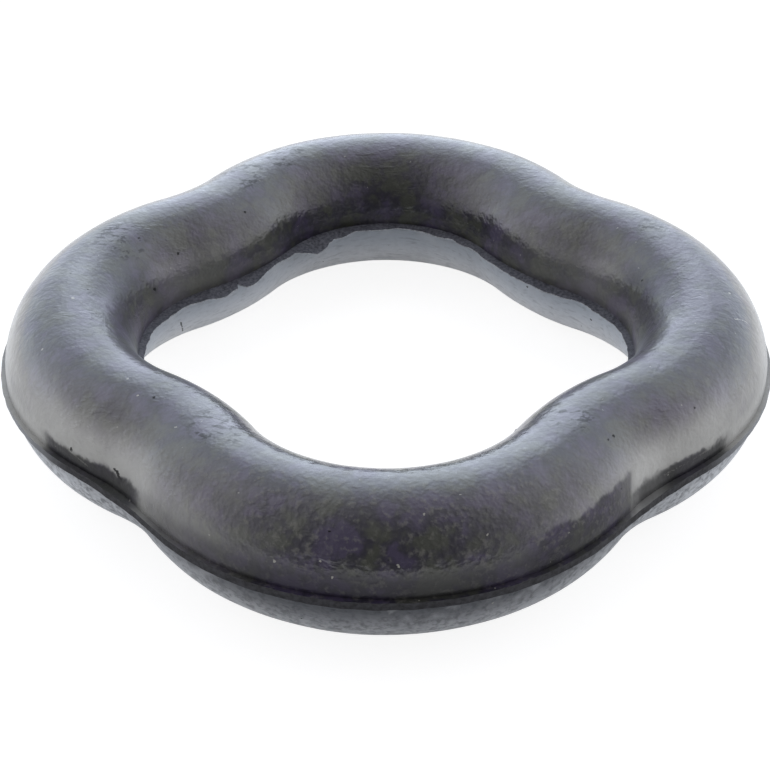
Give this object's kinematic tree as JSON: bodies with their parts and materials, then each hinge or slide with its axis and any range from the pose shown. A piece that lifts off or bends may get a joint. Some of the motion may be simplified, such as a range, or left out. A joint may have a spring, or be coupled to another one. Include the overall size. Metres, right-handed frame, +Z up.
{
  "type": "exhaust hanger",
  "caption": "Solid rubber ring with rounded lobes and shallow waists, which hangs an exhaust pipe from hooks passed through its middle.",
  "frame": {"origin": "on the table, under the middle of the ring", "axes": "+Z up out of the ring lying flat, +X and +Y through the middles of two lobes, with the side shown nearest in the picture at -Y"},
  "size_m": [0.073, 0.073, 0.0144],
  "materials": {
    "black_rubber": "satin, as moulded"
  },
  "bodies": {
    "root": {"rubber_ring": "black_rubber"}
  },
  "joints": []
}
